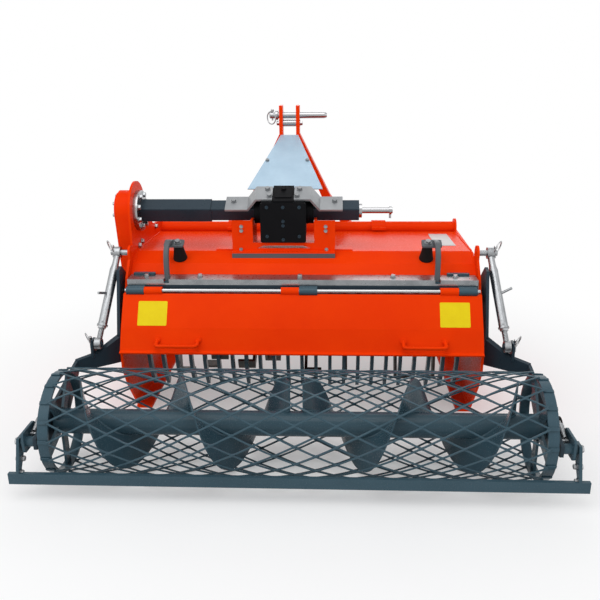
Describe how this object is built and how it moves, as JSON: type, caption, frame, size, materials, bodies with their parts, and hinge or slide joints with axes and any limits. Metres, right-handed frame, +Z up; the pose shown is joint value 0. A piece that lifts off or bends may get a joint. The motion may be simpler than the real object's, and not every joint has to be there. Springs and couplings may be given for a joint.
{
  "type": "stone burier",
  "caption": "Tractor-mounted stone burier: hooded tined rotor with comb and hinged tailgate, offset gearbox and side drive, mesh packer roller with scraper on adjustable arms.",
  "frame": {"origin": "middle of the footprint on the floor", "axes": "+X to the right seen from behind, +Y forward to the tractor, +Z up"},
  "size_m": [1.64, 1.181, 1.026],
  "materials": {
    "red_paint": "glossy red-orange paint",
    "slate_paint": "satin slate grey paint",
    "zinc": "zinc plated and galvanised steel",
    "bright_steel": "bright machined steel",
    "black_casting": "black painted casting",
    "worn_steel": "dark forged steel",
    "black_rubber": "matt black rubber"
  },
  "bodies": {
    "frame": {"hood_shell": "red_paint", "side_plate_left": "red_paint", "side_plate_right": "red_paint", "skids": "red_paint", "front_tube": "red_paint", "tube_clips": "red_paint", "rear_beam": "zinc", "comb_bar": "slate_paint", "comb_tines": "slate_paint", "buffer_arms": "zinc", "rubber_buffers": "black_rubber", "hinge_rod": "bright_steel", "gear_tube_sleeve": "slate_paint", "gear_tube_inner": "slate_paint", "gear_tube_stub": "slate_paint", "shaft_end": "bright_steel", "gearbox": "black_casting", "gearbox_wings": "zinc", "stand_rail": "zinc", "gearbox_stand": "red_paint", "drive_case": "red_paint", "drive_flange": "bright_steel", "rotor_bearing": "black_casting", "mast_leg_left": "red_paint", "mast_leg_right": "red_paint", "mast_shield": "zinc", "top_link_pin": "bright_steel", "low_link_pins": "bright_steel", "arm_pivots": "zinc", "link_pins": "zinc"},
    "tailgate": {"tailgate": "red_paint", "tailgate_handles": "red_paint"},
    "tine_rotor": {"rotor_shaft": "worn_steel", "rotor_tines": "worn_steel"},
    "pto_input": {"pto_shaft": "bright_steel"},
    "roller_frame": {"roller_arm_left": "slate_paint", "roller_arm_right": "slate_paint", "roller_bearings": "black_casting", "scraper_pins": "zinc", "scraper_springs": "zinc"},
    "packer_roller": {"roller_tube": "slate_paint", "roller_end_left": "slate_paint", "roller_end_right": "slate_paint", "auger_left": "slate_paint", "auger_right": "slate_paint", "mesh_outer": "slate_paint", "mesh_inner": "slate_paint"},
    "scraper": {"scraper_bar": "slate_paint"},
    "turnbuckle_left": {"link_barrel_left": "zinc"},
    "turnbuckle_right": {"link_barrel_right": "zinc"},
    "turnbuckle_rod_left": {"link_rod_left": "zinc"},
    "turnbuckle_rod_right": {"link_rod_right": "zinc"}
  },
  "joints": [
    {"name": "tailgate_hinge", "type": "hinge", "parent": "frame", "child": "tailgate", "pos_m": [0, -0.0655, 0.466], "axis": [-1, 0, 0], "range_deg": [0, 70]},
    {"name": "rotor_spin", "type": "hinge", "parent": "frame", "child": "tine_rotor", "pos_m": [0, 0.2215, 0.245], "axis": [1, 0, 0], "continuous": true},
    {"name": "pto_spin", "type": "hinge", "parent": "frame", "child": "pto_input", "pos_m": [-0.066, 0.2815, 0.69], "axis": [0, 1, 0], "continuous": true},
    {"name": "roller_arm_lift", "type": "hinge", "parent": "frame", "child": "roller_frame", "pos_m": [0, 0.0655, 0.415], "axis": [-1, 0, 0], "range_deg": [-6, 8]},
    {"name": "roller_spin", "type": "hinge", "parent": "roller_frame", "child": "packer_roller", "pos_m": [0, -0.4185, 0.164], "axis": [1, 0, 0], "continuous": true},
    {"name": "scraper_pivot", "type": "hinge", "parent": "roller_frame", "child": "scraper", "pos_m": [0, -0.5445, 0.166], "axis": [-1, 0, 0], "range_deg": [0, 10]},
    {"name": "turnbuckle_left_swing", "type": "hinge", "parent": "frame", "child": "turnbuckle_left", "pos_m": [-0.64, 0.0465, 0.568], "axis": [-1, 0, 0], "range_deg": [-4.2, 5.6]},
    {"name": "turnbuckle_left_screw", "type": "slide", "parent": "turnbuckle_left", "child": "turnbuckle_rod_left", "axis": [-0.1035, -0.5938, -0.7979], "range_m": [-0.017, 0.0125]},
    {"name": "turnbuckle_right_swing", "type": "hinge", "parent": "frame", "child": "turnbuckle_right", "pos_m": [0.64, 0.0465, 0.568], "axis": [-1, 0, 0], "range_deg": [-4.2, 5.6]},
    {"name": "turnbuckle_right_screw", "type": "slide", "parent": "turnbuckle_right", "child": "turnbuckle_rod_right", "axis": [0.1035, -0.5938, -0.7979], "range_m": [-0.017, 0.0125]}
  ],
  "couplings": [
    {"joint": "pto_spin", "follows": "rotor_spin", "ratio": 2.2},
    {"joint": "turnbuckle_left_swing", "follows": "roller_arm_lift", "ratio": 0.661},
    {"joint": "turnbuckle_left_screw", "follows": "roller_arm_lift", "m_per_rad": -0.1086},
    {"joint": "turnbuckle_right_swing", "follows": "roller_arm_lift", "ratio": 0.661},
    {"joint": "turnbuckle_right_screw", "follows": "roller_arm_lift", "m_per_rad": -0.1086}
  ]
}
